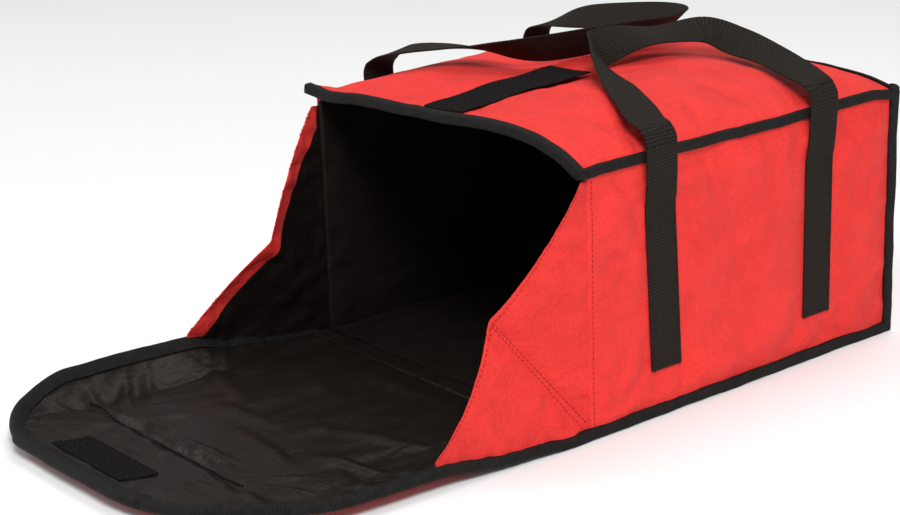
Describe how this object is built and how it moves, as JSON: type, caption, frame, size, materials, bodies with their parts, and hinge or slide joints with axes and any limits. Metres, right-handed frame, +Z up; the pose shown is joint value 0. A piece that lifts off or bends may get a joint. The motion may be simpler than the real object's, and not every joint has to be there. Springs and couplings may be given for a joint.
{
  "type": "pizza delivery bag",
  "caption": "Padded fabric box bag with a fold-down front flap and closing tongue, side gussets and two webbing loop handles.",
  "frame": {"origin": "centre of the box's base underside, on the ground", "axes": "+X to the bag's right seen from the opening, -Y out of the opening along the lowered flap, +Z up"},
  "size_m": [0.3759, 0.7281, 0.2888],
  "materials": {
    "red_polyester": "matte woven",
    "white_foam": "matte",
    "black_nylon": "satin",
    "black_edge_tape": "matte",
    "black_webbing": "matte ribbed",
    "hook_fastener": "rough",
    "loop_fastener": "fuzzy"
  },
  "bodies": {
    "box": {"base_shell": "red_polyester", "base_foam": "white_foam", "base_lining": "black_nylon", "left_wall_shell": "red_polyester", "left_wall_foam": "white_foam", "left_wall_lining": "black_nylon", "right_wall_shell": "red_polyester", "right_wall_foam": "white_foam", "right_wall_lining": "black_nylon", "rear_wall_shell": "red_polyester", "rear_wall_foam": "white_foam", "rear_wall_lining": "black_nylon", "top_shell": "red_polyester", "top_foam": "white_foam", "top_lining": "black_nylon", "left_base_tape": "black_edge_tape", "right_base_tape": "black_edge_tape", "left_top_tape": "black_edge_tape", "right_top_tape": "black_edge_tape", "left_rear_tape": "black_edge_tape", "right_rear_tape": "black_edge_tape", "rear_base_tape": "black_edge_tape", "rear_top_tape": "black_edge_tape", "front_top_tape": "black_edge_tape", "left_gusset_shell": "red_polyester", "left_gusset_lining": "black_nylon", "right_gusset_shell": "red_polyester", "right_gusset_lining": "black_nylon", "loop_strip": "loop_fastener", "left_front_handle_leg": "black_webbing", "left_rear_handle_leg": "black_webbing", "right_front_handle_leg": "black_webbing", "right_rear_handle_leg": "black_webbing"},
    "flap": {"flap_shell": "red_polyester", "flap_foam": "white_foam", "flap_lining": "black_nylon", "flap_left_tape": "black_edge_tape", "flap_right_tape": "black_edge_tape"},
    "tongue": {"tongue_shell": "red_polyester", "tongue_foam": "white_foam", "tongue_lining": "black_nylon", "tongue_tape": "black_edge_tape", "hook_pad": "hook_fastener"},
    "right_riser": {"right_front_handle_riser": "black_webbing", "right_rear_handle_riser": "black_webbing"},
    "right_loop": {"right_handle_loop": "black_webbing"},
    "left_riser": {"left_front_handle_riser": "black_webbing", "left_rear_handle_riser": "black_webbing"},
    "left_loop": {"left_handle_loop": "black_webbing"}
  },
  "joints": [
    {"name": "flap_hinge", "type": "hinge", "parent": "box", "child": "flap", "pos_m": [0, -0.1985, 0.0083], "axis": [-1, 0, 0], "range_deg": [0, 90], "deforming": ["left_gusset_shell", "left_gusset_lining", "right_gusset_shell", "right_gusset_lining"]},
    {"name": "tongue_hinge", "type": "hinge", "parent": "flap", "child": "tongue", "pos_m": [0, -0.4465, 0.0083], "axis": [-1, 0, 0], "range_deg": [0, 87]},
    {"name": "right_riser_hinge", "type": "hinge", "parent": "box", "child": "right_riser", "pos_m": [0.1771, 0, 0.178], "axis": [0, 1, 0], "range_deg": [0, 90]},
    {"name": "right_loop_hinge", "type": "hinge", "parent": "right_riser", "child": "right_loop", "pos_m": [0.1814, 0, 0.232], "axis": [0, 1, 0], "range_deg": [0, 150]},
    {"name": "left_riser_hinge", "type": "hinge", "parent": "box", "child": "left_riser", "pos_m": [-0.1771, 0, 0.178], "axis": [0, -1, 0], "range_deg": [0, 90]},
    {"name": "left_loop_hinge", "type": "hinge", "parent": "left_riser", "child": "left_loop", "pos_m": [-0.1814, 0, 0.232], "axis": [0, -1, 0], "range_deg": [0, 150]}
  ]
}
